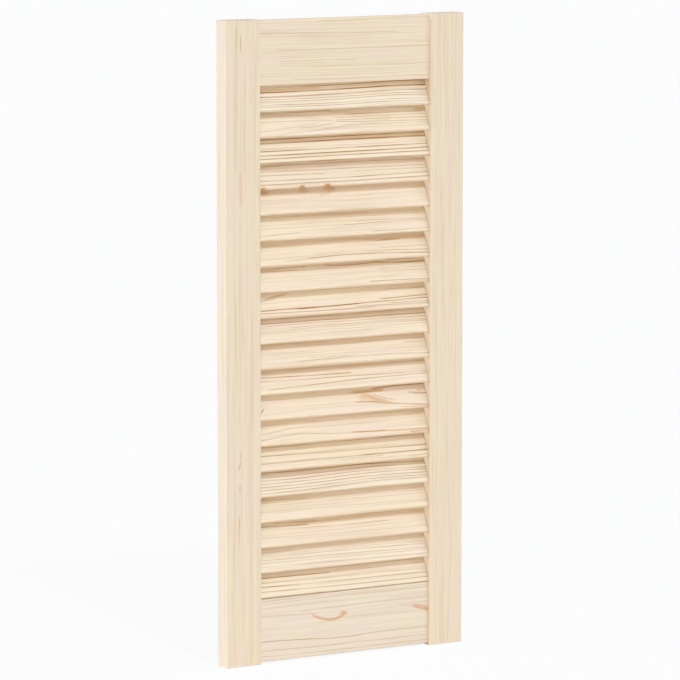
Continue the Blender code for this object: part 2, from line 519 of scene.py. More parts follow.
class RingPattern(NodeGroup):
    """Pine: growth rings round a pith, fibres, blush, resin and knots, with painted warm shade and a
    painted highlight.

    It gives the wood's colour, its roughness and its height.
    """

    SEED_STEP = (17.3, 5.1, 11.7)
    ACROSS_GRAIN = (0.0, 1.0, 1.0)

    # How fast the rings' widths change, how a ring darkens and ends, and how it fades along the board
    SEASONS = 0.45
    DARKENING = Easing(0.50, 0.90)
    DARKENING_POWER = 1.5
    RING_END = Easing(1.0, 0.94)
    SPELL_ALONG = 0.016
    SPELL_PER_RING = 3.7
    RING_FADE = Easing(0.30, 0.65, 0.35, 1.0)
    LINE_PATCHES = WoodNoise((0.022, 0.20, 0.20), 1.0)
    LINE_FADE = Easing(0.30, 0.62, 0.60, 1.20)

    # Fine fibres, broader streaks and soft patches of warmer wood
    FIBRES = WoodNoise((0.010, 0.95, 0.95), 2.0, 0.6)
    STREAKS = WoodNoise((0.007, 0.34, 0.34), 2.0, 0.6)
    STREAK_SHADE = Easing(0.56, 0.22, 0.0, 0.22)
    WARM_PATCHES = WoodNoise((0.012, 0.07, 0.07), 1.0)
    PATCH_GAIN = 4.0

    # A knot's heart, sawn ends, which are darker, and a painted highlight along an edge, which is paler
    HEART_SHARE = 0.3
    SAWN_SHADE = -0.12
    PAINTED_HIGHLIGHT_GAIN = 0.04

    # Late wood is denser, so smoother, and stands a little proud
    DULL = 0.58
    FIBRE_DULLNESS = 0.16
    LATE_SMOOTHNESS = -0.12
    LATE_RIDGE = 0.25
    FIBRE_RIDGE = 0.5

    def __init__(self) -> None:
        """Draws the rings, the wood's colour and its surface."""
        super().__init__(
            Pattern.RINGS,
            {
                Kind.VECTOR: ("Place", "Pith", "Drift"),
                Kind.COLOUR: ("Wood",),
                Kind.NUMBER: (
                    "Ring Width", "Contrast", "Faintest", "Blush", "Bleach", "Ripe", "Streaky", "Seed",
                    "Bulge", "Core", "Heart", "Line", "Resin", "End", "Painted Highlight",
                ),
            },
            {Kind.COLOUR: ("Colour",), Kind.NUMBER: ("Roughness", "Height")},
        )
        self.along = self.split(self.given["Place"])["X"]
        self.shift = self.scaled(self.SEED_STEP, self.given["Seed"])
        self.fine = self.layer(self.FIBRES, self.shift).outputs[0]
        line = self.draw_lines(self.count_rings())
        self.draw_colour(line)
        self.draw_surface(line)

    def count_rings(self) -> Socket:
        """Counts rings of unlike width outwards from a leaning pith.

        Returns:
            The count at a place.
        """
        given = self.given
        pith = self.vector("MULTIPLY_ADD", given["Drift"], self.along, given["Pith"])
        arm = self.vector("MULTIPLY", self.vector("SUBTRACT", given["Place"], pith), self.ACROSS_GRAIN)
        radius = self.math("ADD", self.measure("LENGTH", arm), given["Bulge"])
        count = self.math("DIVIDE", radius, given["Ring Width"])
        time = self.math("MULTIPLY_ADD", count, self.SEASONS, given["Seed"])
        feeds = {"W": time, "Scale": 1.0, "Detail": 1.0}
        season = self.add("ShaderNodeTexNoise", feeds, noise_dimensions="1D").outputs[0]
        return self.math("ADD", count, self.math("SUBTRACT", season, NOISE_MIDDLE))

    def draw_lines(self, ring: Feed) -> Socket:
        """Draws late wood: rings that darken slowly and end sharply, and the bold lines.

        Args:
            ring: The count of rings at a place.

        Returns:
            The share of late wood.
        """
        given = self.given
        number = self.math("FLOOR", ring)
        part = self.math("FRACT", ring)
        dark = self.math("POWER", self.ease(part, self.DARKENING), self.DARKENING_POWER)
        late = self.math("MULTIPLY", dark, self.ease(part, self.RING_END))
        draw = self.math("ADD", number, given["Seed"])
        year = self.add("ShaderNodeTexWhiteNoise", {"W": draw}, noise_dimensions="1D")
        bold = self.add("ShaderNodeMapRange", {
            "Value": year.outputs["Value"],
            "To Min": given["Faintest"],
            "To Max": 1.0,
        })
        spell = self.join(
            "ShaderNodeCombineXYZ",
            self.math("MULTIPLY", self.along, self.SPELL_ALONG),
            self.math("MULTIPLY", number, self.SPELL_PER_RING),
            given["Seed"],
        )
        fade = self.ease(self.noise(spell.outputs[0], 1.0).outputs[0], self.RING_FADE)
        drawn = self.math("MULTIPLY", self.math("MULTIPLY", late, bold.outputs[0]), fade)
        rings = self.math("MULTIPLY", drawn, given["Contrast"])
        patchy = self.ease(self.layer(self.LINE_PATCHES, self.shift).outputs[0], self.LINE_FADE)
        return self.math("MAXIMUM", rings, self.math("MULTIPLY", given["Line"], patchy))

    def draw_colour(self, line: Feed) -> None:
        """Colours the wood, from early wood to knots, with painted warm shade and a painted highlight.

        Args:
            line: The share of late wood.
        """
        given = self.given
        broad = self.layer(self.STREAKS, self.shift).outputs[0]
        patch = self.layer(self.WARM_PATCHES, self.shift).outputs[0]
        patchy = self.math("MULTIPLY_ADD", patch, self.PATCH_GAIN, -self.PATCH_GAIN * NOISE_MIDDLE)
        warmth = self.math("ADD", given["Blush"], patchy)
        kept = self.math("MINIMUM", self.math("MAXIMUM", warmth, 0.0), 1.0)
        blushed = self.vector("MULTIPLY", given["Wood"], BLUSH_TINT)
        fresh = self.mix(given["Bleach"], self.mix(kept, given["Wood"], blushed), BLEACHED_WOOD)
        streaks = self.ease(broad, self.STREAK_SHADE)
        shade = self.math("MULTIPLY_ADD", streaks, given["Streaky"], given["Ripe"])
        early = self.mix(shade, fresh, LATE_WOOD)
        lined = self.mix(self.math("MINIMUM", line, 1.0), early, LATE_WOOD)
        # Resin, and warm shade painted in resin colour on the upper part of each slat
        resined_and_warm_shaded = self.mix(given["Resin"], lined, RESIN_AND_WARM_SHADE_WOOD)
        knotted = self.mix(given["Core"], resined_and_warm_shaded, KNOT_WOOD)
        heart = self.math("MULTIPLY", given["Heart"], self.HEART_SHARE)
        hearted = self.mix(heart, knotted, KNOT_HEART)
        fibre = self.math("MULTIPLY", self.math("SUBTRACT", self.fine, NOISE_MIDDLE), given["Streaky"])
        tone = self.vector("ADD", self.scaled(FIBRE_TONE, fibre), (1.0, 1.0, 1.0))
        toned = self.vector("MULTIPLY", hearted, tone)
        sawn = self.math("MULTIPLY_ADD", given["End"], self.SAWN_SHADE, 1.0)
        # A highlight is painted along an edge as paler wood
        highlighted = self.math("MULTIPLY_ADD", given["Painted Highlight"], self.PAINTED_HIGHLIGHT_GAIN, sawn)
        palest = self.vector("MINIMUM", self.scaled(toned, highlighted), BRIGHTEST)
        self.feed(self.made["Colour"], palest)

    def draw_surface(self, line: Feed) -> None:
        """Roughens and raises the surface along its fibres and late wood.

        Args:
            line: The share of late wood.
        """
        dull = self.math("MULTIPLY_ADD", self.fine, self.FIBRE_DULLNESS, self.DULL)
        self.feed(self.made["Roughness"], self.math("MULTIPLY_ADD", line, self.LATE_SMOOTHNESS, dull))
        fibres = self.math("MULTIPLY", self.fine, self.FIBRE_RIDGE)
        self.feed(self.made["Height"], self.math("MULTIPLY_ADD", line, self.LATE_RIDGE, fibres))


@dataclass(frozen=True)
class Bend:
    """A swing of all the grain to one side: its place along the board, its height and half its length."""

    along: float = 0.0
    rise: float = 0.0
    reach: float = 40.0


@dataclass(frozen=True)
class Knot:
    """A knot in a board: its middle, half its length and width, its bulge and its depth of tone."""

    along: float
    across: float
    length: float
    width: float
    bulge: float
    tone: float


@dataclass(frozen=True)
class Streak:
    """A bold line between two places on a board, with its sag, half its width and its depth of tone."""

    start: Place
    end: Place
    sag: float
    width: float
    tone: float
    mark: Mark = Mark.LATE_WOOD


def resin_and_warm_shade(start: Place, end: Place, sag: float, width: float, tone: float) -> Streak:
    """Draws a line of resin colour, for resin and for painted warm shade, which takes the same values as
    a streak.
    """
    return Streak(start, end, sag, width, tone, Mark.RESIN_AND_WARM_SHADE)


def full_line(
    left: float, right: float, tone: float, sag: float = 0.0, width: float = LINE_WIDTH,
) -> Streak:
    """Draws a line of late wood from end to end of a slat or a rail.

    Args:
        left: How far across the board it meets the left stile.
        right: How far across the board it meets the right stile.
        tone: Its depth of tone.
        sag: How far its middle lies above the straight.
        width: Half its width.

    Returns:
        The line.
    """
    overrun = (right - left) * (RIGHT_END - SEEN_HALF) / (2 * SEEN_HALF)
    return Streak((LEFT_END, left - overrun), (RIGHT_END, right + overrun), sag, width, tone)


def painted_warm_shade(tone: float) -> Streak:
    """Paints warm shade as a soft band of resin colour along the upper part of a slat's face, which the
    slat above shades, with some depth of tone.
    """
    return resin_and_warm_shade((LEFT_END, PAINTED_SHADE_ACROSS), (RIGHT_END, PAINTED_SHADE_ACROSS), 0.0, PAINTED_SHADE_HALF_WIDTH, tone)


@dataclass(frozen=True)
class PineFinish:
    """Raw, sanded pine, cut at some place in its log.

    The seed gives a board its own noise. The pith is where the log's middle lies, across
    and into the depth, and the drift is how far it moves per millimetre along the board.
    Far across, the rings cut the face in straight lines. Behind the face, they make flames.
    The rings have a mean width and a contrast, of which the faintest ring keeps a share.
    The grain wanders and may bend to one side.

    The wood's own colour blushes in patches, is bleached towards a paler one and is ripe
    where it is a little nearer to late wood all over. A streaky board has stronger fibres.
    The painted highlight is a paler line along an edge, by its place across the board.
    """

    seed: int
    pith: Place
    ring_width: float
    contrast: float
    bleach: float
    drift: Place = (0.0, 0.0)
    faintest: float = 0.3
    wander: float = 1.0
    wood: Colour = PALE_WOOD
    blush: float = 0.4
    ripe: float = 0.0
    streaky: float = 1.0
    bend: Bend = Bend()
    painted_highlight: float | None = PAINTED_HIGHLIGHT_ACROSS
    knots: tuple[Knot, ...] = ()
    streaks: tuple[Streak, ...] = ()

    SPECULAR: ClassVar[float] = 0.08
    BUMP_STRENGTH: ClassVar[float] = 0.35
    BUMP_DISTANCE: ClassVar[float] = 0.00012
    END_GRAIN: ClassVar[Easing] = Easing(0.5, 0.95)
    PAINTED_HIGHLIGHT_WIDTH: ClassVar[Easing] = Easing(1.8, 0.0)

    def material(self, name: str, centre: Vector, grain: Grain) -> bpy.types.Material:
        """Makes the material of one board.

        Args:
            name: The material's name.
            centre: The board's middle.
            grain: How the board lies in the door.

        Returns:
            The material.
        """
        material = new_material(name)
        sheet = NodeSheet(material.node_tree)
        source = sheet.add("ShaderNodeTexCoord").outputs
        mapped = {
            "Vector": source["Object"],
            "Location": tuple(centre),
            "Rotation": grain.value,
            "Scale": (MILLIMETRE,) * 3,
        }
        place = sheet.add("ShaderNodeMapping", mapped, vector_type="TEXTURE").outputs[0]
        straight = sheet.use(Pattern.GRAIN, {
            "Place": place,
            "Middle": self.bend.along,
            "Rise": self.bend.rise,
            "Reach": self.bend.reach,
            "Wander": self.wander,
            "Seed": float(self.seed),
        }).outputs[0]
        fibres = Euler(grain.value).to_matrix() @ ALONG_X
        sawn = sheet.math("ABSOLUTE", sheet.measure("DOT_PRODUCT", source["Normal"], tuple(fibres)))
        rings = sheet.use(Pattern.RINGS, {
            "Place": straight,
            "Pith": (0.0, self.pith[1], self.pith[0]),
            "Drift": (0.0, self.drift[1], self.drift[0]),
            "Ring Width": self.ring_width,
            "Contrast": self.contrast,
            "Faintest": self.faintest,
            "Wood": self.wood,
            "Blush": self.blush,
            "Bleach": self.bleach,
            "Ripe": self.ripe,
            "Streaky": self.streaky,
            "Seed": float(self.seed),
            "End": sheet.ease(sawn, self.END_GRAIN),
            "Painted Highlight": self.add_painted_highlight(sheet, place),
        })
        self.add_knots(sheet, place, rings)
        self.add_streaks(sheet, straight, rings)
        bump = sheet.add("ShaderNodeBump", {
            "Strength": self.BUMP_STRENGTH,
            "Distance": self.BUMP_DISTANCE,
            "Height": rings.outputs["Height"],
        })
        sheet.feed_all(material.node_tree.nodes["Principled BSDF"], {
            "Base Color": rings.outputs["Colour"],
            "Roughness": rings.outputs["Roughness"],
            "Normal": bump.outputs[0],
            "Specular IOR Level": self.SPECULAR,
        })
        return material

    def add_painted_highlight(self, sheet: NodeSheet, place: Feed) -> Feed:
        """Finds the line along the round-over where a highlight is painted as paler wood.

        Args:
            sheet: The material's nodes.
            place: The place on the board.

        Returns:
            The share of the painted highlight.
        """
        if self.painted_highlight is None:
            return 0.0
        away = sheet.math("SUBTRACT", sheet.split(place)["Z"], self.painted_highlight)
        return sheet.ease(sheet.math("ABSOLUTE", away), self.PAINTED_HIGHLIGHT_WIDTH)

    def add_knots(self, sheet: NodeSheet, place: Feed, rings: Node) -> None:
        """Adds the knots to a board's pattern.

        Args:
            sheet: The material's nodes.
            place: The place on the board.
            rings: The ring pattern's node.
        """
        drawn: dict[str, Feed] = {}
        for knot in self.knots:
            made = sheet.use(Pattern.KNOT, {
                "Place": place,
                "Middle": (knot.along, 0.0, knot.across),
                "Reach": (knot.length, 1.0, knot.width),
                "Bulge": knot.bulge,
                "Tone": knot.tone,
            }).outputs
            for name, operation in (("Bulge", "ADD"), ("Core", "MAXIMUM"), ("Heart", "MAXIMUM")):
                sheet.gather(drawn, name, operation, made[name])
        sheet.feed_all(rings, drawn)

    def add_streaks(self, sheet: NodeSheet, place: Feed, rings: Node) -> None:
        """Adds the bold lines to a board's pattern.

        Args:
            sheet: The material's nodes.
            place: The place in straight wood.
            rings: The ring pattern's node.
        """
        drawn: dict[str, Feed] = {}
        for streak in self.streaks:
            made = sheet.use(Pattern.STREAK, {
                "Place": place,
                "Start": (streak.start[0], 0.0, streak.start[1]),
                "Run": (streak.end[0] - streak.start[0], 0.0, streak.end[1] - streak.start[1]),
                "Sag": streak.sag,
                "Width": streak.width,
                "Tone": streak.tone,
            }).outputs["Line"]
            sheet.gather(drawn, streak.mark.value, "MAXIMUM", made)
        sheet.feed_all(rings, drawn)


@dataclass(frozen=True)
class BeechFinish:
    """Steamed beech of the dowels: fine pores and short flecks along the grain."""

    pores: WoodNoise = WoodNoise((160.0, 1100.0, 1100.0), 3.0, 0.6)
    flecks: Easing = Easing(0.35, 0.70)
    roughness: float = 0.5
    bump_strength: float = 0.3
    bump_distance: float = 0.0001

    def material(self, name: str) -> bpy.types.Material:
        """Makes the dowels' material.

        Args:
            name: The material's name.

        Returns:
            The material.
        """
        material = new_material(name)
        sheet = NodeSheet(material.node_tree)
        place = sheet.add("ShaderNodeTexCoord").outputs["Object"]
        stretched = sheet.vector("MULTIPLY", place, self.pores.stretch)
        pores = sheet.noise(stretched, self.pores.detail, self.pores.roughness).outputs[0]
        bump = sheet.add("ShaderNodeBump", {
            "Strength": self.bump_strength,
            "Distance": self.bump_distance,
            "Height": pores,
        })
        sheet.feed_all(material.node_tree.nodes["Principled BSDF"], {
            "Base Color": sheet.mix(sheet.ease(pores, self.flecks), BEECH_PALE, BEECH_DARK),
            "Roughness": self.roughness,
            "Normal": bump.outputs[0],
        })
        return material


@dataclass(frozen=True)
class PaperFinish:
    """Paper of the floor: it lights the door as warm white paper does, and looks white to the camera."""

    white: Colour = (0.95, 0.90, 0.82, 1.0)
    shadow: float = 0.10
    glow: float = 0.893

    def material(self, name: str) -> bpy.types.Material:
        """Makes the floor's material.

        Args:
            name: The material's name.

        Returns:
            The material.
        """
        material = new_material(name)
        nodes = material.node_tree.nodes
        nodes.remove(nodes["Principled BSDF"])
        sheet = NodeSheet(material.node_tree)
        paper = sheet.add("ShaderNodeBsdfDiffuse", {"Color": self.white})
        shade = sheet.add("ShaderNodeBsdfDiffuse", {"Color": grey(self.shadow)})
        glow = sheet.add("ShaderNodeEmission", {"Strength": self.glow})
        seen = sheet.join("ShaderNodeAddShader", shade.outputs[0], glow.outputs[0])
        choice = sheet.join("ShaderNodeMixShader", sheet.shown(), paper.outputs[0], seen.outputs[0])
        sheet.feed(nodes["Material Output"].inputs["Surface"], choice.outputs[0])
        return material


def bevel_edges(shape: Shape, edges: Edges, width: float, steps: int) -> None:
    """Rounds edges with an arc.

    Args:
        shape: The shape.
        edges: The edges to round.
        width: The arc's radius.
        steps: The arc's steps.
    """
    bmesh.ops.bevel(
        shape, geom=edges, offset=width, offset_type="OFFSET", segments=steps,
        profile=0.5, affect="EDGES", clamp_overlap=True, material=-1,
    )


def edges_along(shape: Shape, axis: Vector) -> Edges:
    """Lists the edges that run along an axis.

    Args:
        shape: The shape.
        axis: The axis, of length one.

    Returns:
        The edges.
    """
    runs = [(edge, edge.verts[1].co - edge.verts[0].co) for edge in shape.edges]
    return [edge for edge, run in runs if abs(run.normalized().dot(axis)) > PARALLEL]


def square_bar(size: Vector) -> Shape:
    """Makes a bar with sharp edges about the origin.

    Args:
        size: The bar's size.

    Returns:
        The bar.
    """
    shape = bmesh.new()
    bmesh.ops.create_cube(shape, size=1.0, matrix=Matrix.Diagonal((*size, 1.0)))
    return shape


def rounded_bar(size: Vector, edge_round: float, steps: int) -> Shape:
    """Makes a bar along X about the origin, with its long edges rounded.

    Args:
        size: The bar's size.
        edge_round: The edges' radius.
        steps: The steps in each edge.

    Returns:
        The bar.
    """
    shape = square_bar(size)
    bevel_edges(shape, edges_along(shape, ALONG_X), edge_round, steps)
    shape.normal_update()
    return shape


def smooth(mesh: bpy.types.Mesh) -> None:
    """Shades a mesh smoothly, apart from its sharp edges."""
    mesh.shade_smooth()
    mesh.set_sharp_from_angle(angle=SMOOTH_ANGLE)


def mesh_from(name: str, shape: Shape) -> bpy.types.Mesh:
    """Turns a shape into a mesh with smooth shading, and frees the shape.

    Args:
        name: The mesh's name.
        shape: The shape.

    Returns:
        The mesh.
    """
    mesh = bpy.data.meshes.new(name)
    shape.to_mesh(mesh)
    shape.free()
    smooth(mesh)
    return mesh


def add_object(name: str, mesh: bpy.types.Mesh) -> bpy.types.Object:
    """Puts a mesh in the scene.

    Args:
        name: The object's name.
        mesh: The mesh.

    Returns:
        The object.
    """
    item = bpy.data.objects.new(name, mesh)
    bpy.context.scene.collection.objects.link(item)
    return item


def cut_out(item: bpy.types.Object, cutters: list[Shape]) -> None:
    """Cuts shapes out of an object for good.

    Args:
        item: The object.
        cutters: The shapes, in place, which are freed.
    """
    joined = bmesh.new()
    for cutter in cutters:
        scratch = mesh_from("scratch", cutter)
        joined.from_mesh(scratch)
        bpy.data.meshes.remove(scratch)
    tool = add_object(item.name + "_cutter", mesh_from("cutter", joined))
    modifier = item.modifiers.new("joinery", "BOOLEAN")
    modifier.operation = "DIFFERENCE"
    modifier.solver = "EXACT"
    modifier.object = tool
    graph = bpy.context.evaluated_depsgraph_get()
    whole = item.data
    item.data = bpy.data.meshes.new_from_object(item.evaluated_get(graph))
    item.modifiers.clear()
    bpy.data.meshes.remove(whole)
    bpy.data.objects.remove(tool)
    smooth(item.data)


@dataclass(frozen=True)
class DowelHole:
    """A hole for half a dowel, with its sizes and the number of sides in its round."""

    diameter: float = 0.0086
    depth: float = 0.0205
    sides: int = 32

    def cutter(self, mouth: Vector, inwards: int) -> Shape:
        """Makes the cutter for one hole.

        Args:
            mouth: The middle of the hole's mouth.
            inwards: The sign of X on the way in.

        Returns:
            The cutter, in its place.
        """
        shape = bmesh.new()
        bmesh.ops.create_cone(
            shape, cap_ends=True, segments=self.sides, radius1=self.diameter / 2,
            radius2=self.diameter / 2, depth=self.depth + CUT_OVERSHOOT,
            matrix=Matrix.Rotation(math.pi / 2, 4, "Y"),
        )
        middle = mouth + ALONG_X * (inwards * (self.depth - CUT_OVERSHOOT) / 2)
        shape.transform(Matrix.Translation(middle))
        return shape


def dowel_heights(level: Level) -> list[float]:
    """Lists the heights of the two dowels at one end of a rail.

    Args:
        level: Which rail it is.

    Returns:
        The heights of the dowels' axes.
    """
    boxes = [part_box(f"dowel_{level.value}_left_{place}") for place in ("upper", "lower")]
    return [(low.z + high.z) / 2 for low, high in boxes]


@dataclass
class Board:
    """A straight board of the door, which takes the place of one solid of the frame."""

    node: str
    finish: PineFinish

    GRAIN: ClassVar[Grain] = Grain.LEVEL
    SLOT: ClassVar[Slot] = Slot.RAIL

    def __post_init__(self) -> None:
        """Reads the solid's place from the frame."""
        low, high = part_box(self.node)
        self.size = high - low
        self.centre = (high + low) / 2

    def shape(self) -> Shape:
        """Models the board in its place."""
        raise NotImplementedError

    def cutters(self) -> list[Shape]:
        """Lists what the joinery takes out of the board."""
        return []

    def make(self) -> None:
        """Builds the board, dresses it and sets it on the frame."""
        name = f"{self.node}_board"
        item = add_object(name, mesh_from(name, self.shape()))
        cutters = self.cutters()
        if cutters:
            cut_out(item, cutters)
        item.data.name = name
        item.data.materials.clear()
        item.data.materials.append(self.finish.material(f"pine_{self.node}", self.centre, self.GRAIN))
        shading = item.modifiers.new("even_shading", "WEIGHTED_NORMAL")
        shading.keep_sharp = True
        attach(item, BODY)
        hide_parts(self.node)
        log.info("%s: %d faces", name, len(item.data.polygons))


@dataclass
class Slat(Board):
    """A louvre slat, which leans back with its lower edge to the front.

    Its edges and faces are not quite straight: they wave a little between the stiles.
    """

    number: int
    thickness: float = 0.005
    edge_round: float = 0.0015
    round_steps: int = 6
    end_in_stile: float = 0.008
    slot_clearance: float = 0.0008
    cuts: int = 59
    edge_wave: float = 0.00025
    face_wave: float = 0.00010
    wave_length: float = 0.045

    GRAIN: ClassVar[Grain] = Grain.LEANING
    SLOT: ClassVar[Slot] = Slot.SLAT

    # Steps through the noise, from slat to slat, between the two edges and to the face
    SLAT_STEP: ClassVar[float] = 3.7
    EDGE_STEP: ClassVar[float] = 5.1
    FACE_STEP: ClassVar[float] = 9.3
    FADE_POWER: ClassVar[int] = 4

    def __post_init__(self) -> None:
        """Works out the slat's own width from the height that it takes up in the door."""
        super().__post_init__()
        sine, cosine = math.sin(SLAT_LEAN), math.cos(SLAT_LEAN)
        corner_loss = self.edge_round * (sine + cosine - 1)
        self.width = (self.size.z + 2 * corner_loss - self.thickness * sine) / cosine
        self.open_half = self.size.x / 2 - self.end_in_stile

    def place(self) -> Matrix:
        """Gives the slat's place in the door."""
        return Matrix.Translation(self.centre) @ Matrix.Rotation(-SLAT_LEAN, 4, "X")

    def shape(self) -> Shape:
        """Models the slat, with its waves.

        Returns:
            The slat, in its place.
        """
        size = Vector((self.size.x, self.thickness, self.width))
        shape = rounded_bar(size, self.edge_round, self.round_steps)
        bmesh.ops.subdivide_edges(
            shape, edges=edges_along(shape, ALONG_X), cuts=self.cuts, use_grid_fill=True,
        )
        own = self.SLAT_STEP * self.number
        for vertex in shape.verts:
            along = vertex.co.x / self.wave_length
            window = max(0.0, 1.0 - (vertex.co.x / self.open_half) ** self.FADE_POWER)
            edge = math.copysign(1.0, vertex.co.z)
            share = abs(vertex.co.z) / (self.width / 2)
            swing = noise.noise(Vector((along, own, self.EDGE_STEP * edge)))
            bow = noise.noise(Vector((along / 2, own, self.FACE_STEP)))
            vertex.co.z += self.edge_wave * window * share * swing
            vertex.co.y += self.face_wave * window * bow
        shape.transform(self.place())
        return shape

    def slot(self, side: Side) -> Shape:
        """Makes the cutter for the slat's slot in a stile, with some clearance before its face.

        Args:
            side: The stile's side.

        Returns:
            The cutter, in its place.
        """
        depth = self.end_in_stile + TIGHT_FIT
        size = Vector((
            depth + CUT_OVERSHOOT,
            self.thickness + 2 * TIGHT_FIT + self.slot_clearance,
            self.width + 2 * TIGHT_FIT,
        ))
        shape = rounded_bar(size, self.edge_round + TIGHT_FIT, self.round_steps)
        middle = self.open_half + (depth - CUT_OVERSHOOT) / 2
        aside = Matrix.Translation((side.value * middle, -self.slot_clearance / 2, 0.0))
        shape.transform(self.place() @ aside)
        return shape


@dataclass
class Stile(Board):
    """An upright of the frame, with slots for the slats and holes for the dowels."""

    side: Side
    slats: tuple[Slat, ...]
    hole: DowelHole = DowelHole()
    outer_round: float = 0.0025
    inner_round: float = 0.0014
    round_steps: int = 8
    end_ease: float = 0.0008
    ease_steps: int = 3

    GRAIN: ClassVar[Grain] = Grain.UPRIGHT
    SLOT: ClassVar[Slot] = Slot.STILE

    def shape(self) -> Shape:
        """Models the stile, with round outer edges, crisper inner ones and eased ends.

        Returns:
            The stile, in its place.
        """
        shape = square_bar(self.size)
        outwards = self.side.value
        for sign, edge_round in ((outwards, self.outer_round), (-outwards, self.inner_round)):
            uprights = [edge for edge in edges_along(shape, ALONG_Z) if edge.verts[0].co.x * sign > 0]
            bevel_edges(shape, uprights, edge_round, self.round_steps)
        shape.normal_update()
        ends = [face for face in shape.faces if abs(face.normal.dot(ALONG_Z)) > PARALLEL]
        rims = list(dict.fromkeys(edge for face in ends for edge in face.edges))
        bevel_edges(shape, rims, self.end_ease, self.ease_steps)
        shape.transform(Matrix.Translation(self.centre))
        return shape

    def cutters(self) -> list[Shape]:
        """Lists the slots and holes in the stile's inner edge.

        Returns:
            The cutters, in their places.
        """
        outwards = self.side.value
        inner = self.centre.x - outwards * self.size.x / 2
        slots = [slat.slot(self.side) for slat in self.slats]
        holes = [
            self.hole.cutter(Vector((inner, self.centre.y, height)), outwards)
            for level in Level
            for height in dowel_heights(level)
        ]
        return slots + holes


@dataclass
class Rail(Board):
    """A level board of the frame, set back behind the faces of the stiles."""

    level: Level
    joint_gap: float
    hole: DowelHole = DowelHole()
    edge_round: float = 0.001
    round_steps: int = 4

    def shape(self) -> Shape:
        """Models the rail, tight between the stiles.

        Returns:
            The rail, in its place.
        """
        size = self.size + Vector((2 * (self.joint_gap - TIGHT_FIT), 0.0, 0.0))
        shape = rounded_bar(size, self.edge_round, self.round_steps)
        shape.transform(Matrix.Translation(self.centre))
        return shape

    def cutters(self) -> list[Shape]:
        """Lists the dowel holes in the rail's ends.

        Returns:
            The cutters, in their places.
        """
        end = self.size.x / 2 + self.joint_gap
        return [
            self.hole.cutter(Vector((side.value * end, self.centre.y, height)), -side.value)
            for side in Side
            for height in dowel_heights(self.level)
        ]


LEFT_STILE_PINE = PineFinish(
    1, pith=(150.0, 40.0), ring_width=2.4, contrast=0.16, wander=1.4, wood=FRAME_WOOD, streaky=0.85,
    bleach=0.0, ripe=0.026, painted_highlight=None,
    streaks=(
        resin_and_warm_shade((-216.0, 5.6), (-180.0, 4.8), 0.3, 1.0, 0.45),
        Streak((-196.0, 5.2), (-180.0, 4.6), 0.0, 0.8, 0.35),
        Streak((-160.0, 4.6), (-144.0, 4.4), 0.3, 1.1, 0.45),
        Streak((-134.0, 5.6), (-120.0, 3.2), 0.3, 1.1, 0.45),
        resin_and_warm_shade((-124.0, 4.0), (-108.0, 3.4), 0.0, 1.4, 0.35),
        resin_and_warm_shade((144.0, 1.4), (188.0, 2.6), 0.3, 2.6, 0.28),
        Streak((150.0, 4.6), (345.0, 7.4), 1.0, 0.6, 0.26),
        Streak((180.0, 8.6), (345.0, 8.6), 0.5, 0.6, 0.26),
        Streak((308.0, 2.4), (334.0, 3.0), 0.0, 1.1, 0.38),
        Streak((-340.0, -10.6), (40.0, -11.4), 0.8, 0.6, 0.22),
        Streak((-90.0, 5.2), (140.0, 4.2), 0.0, 0.6, 0.20),
    ),
)
# A highlight is painted along the right stile's inner corner, 19.5 mm across
RIGHT_STILE_PINE = PineFinish(
    2, pith=(-170.0, 50.0), ring_width=2.8, contrast=0.13, wander=1.6, wood=FRAME_WOOD, blush=0.3,
    streaky=0.75, bleach=0.0, ripe=0.036, painted_highlight=19.5,
)
TOP_RAIL_PINE = PineFinish(
    3, pith=(-210.0, 30.0), drift=(-0.004, 0.0), ring_width=2.3, contrast=0.30, wander=1.1,
    wood=FRAME_WOOD, blush=0.25, bleach=0.0, streaky=0.7, painted_highlight=None,
    streaks=(
        Streak((-90.0, 2.3), (RIGHT_END, 1.8), 0.0, 0.7, 0.34),
        Streak((-85.0, -9.4), (20.0, -9.9), 0.0, 0.7, 0.34),
        Streak((-82.0, -11.9), (-18.0, -12.3), 0.0, 0.6, 0.30),
        Streak((-75.0, -15.8), (RIGHT_END, -17.6), 0.0, 0.7, 0.30),
        Streak((LEFT_END, 20.8), (70.0, 17.2), 0.0, 0.7, 0.26),
        Streak((-40.0, 31.2), (RIGHT_END, 33.2), 0.0, 0.7, 0.28),
        Streak((-70.0, -29.2), (RIGHT_END, -29.8), 0.0, 0.7, 0.22),
    ),
)
